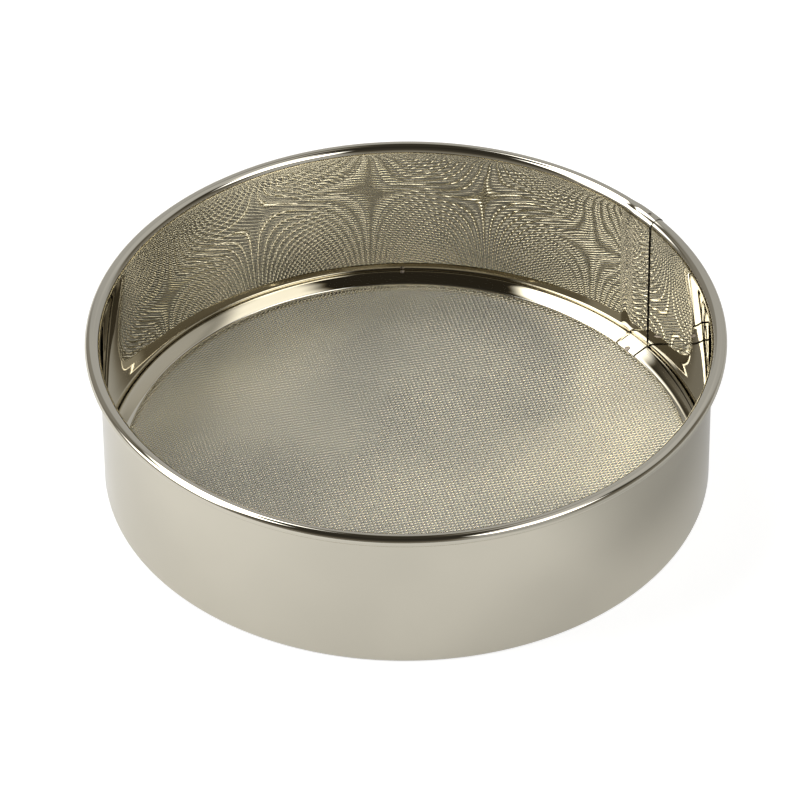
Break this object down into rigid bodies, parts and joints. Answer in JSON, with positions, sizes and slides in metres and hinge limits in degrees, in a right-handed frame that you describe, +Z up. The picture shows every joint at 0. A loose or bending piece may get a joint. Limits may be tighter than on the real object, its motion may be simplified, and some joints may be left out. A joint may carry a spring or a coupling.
{
  "type": "tamis drum sieve",
  "caption": "Round sheet-metal drum sieve with a wired rim and a fine wire cloth clamped across its base by a pressed ring.",
  "frame": {"origin": "centre of the base, on the plane that the drum stands on", "axes": "+Z up along the drum's axis towards the rim; the seam lies between +X and +Y"},
  "size_m": [0.25, 0.25, 0.0665],
  "materials": {
    "polished_steel": "mirror-polished stainless sheet, warm grey",
    "ring_steel": "bright rolled stainless strip",
    "cloth_wire": "bright drawn stainless wire, plain woven",
    "core_wire": "drawn steel wire",
    "weld_steel": "dull spot weld with a slight heat tint"
  },
  "bodies": {
    "root": {"drum_wall": "polished_steel", "rim_wire": "core_wire", "warp_wires": "cloth_wire", "weft_wires": "cloth_wire", "clamp_ring": "ring_steel", "ring_tack_welds": "weld_steel", "ring_lap_weld": "weld_steel", "rim_joint_weld": "weld_steel"}
  },
  "joints": []
}
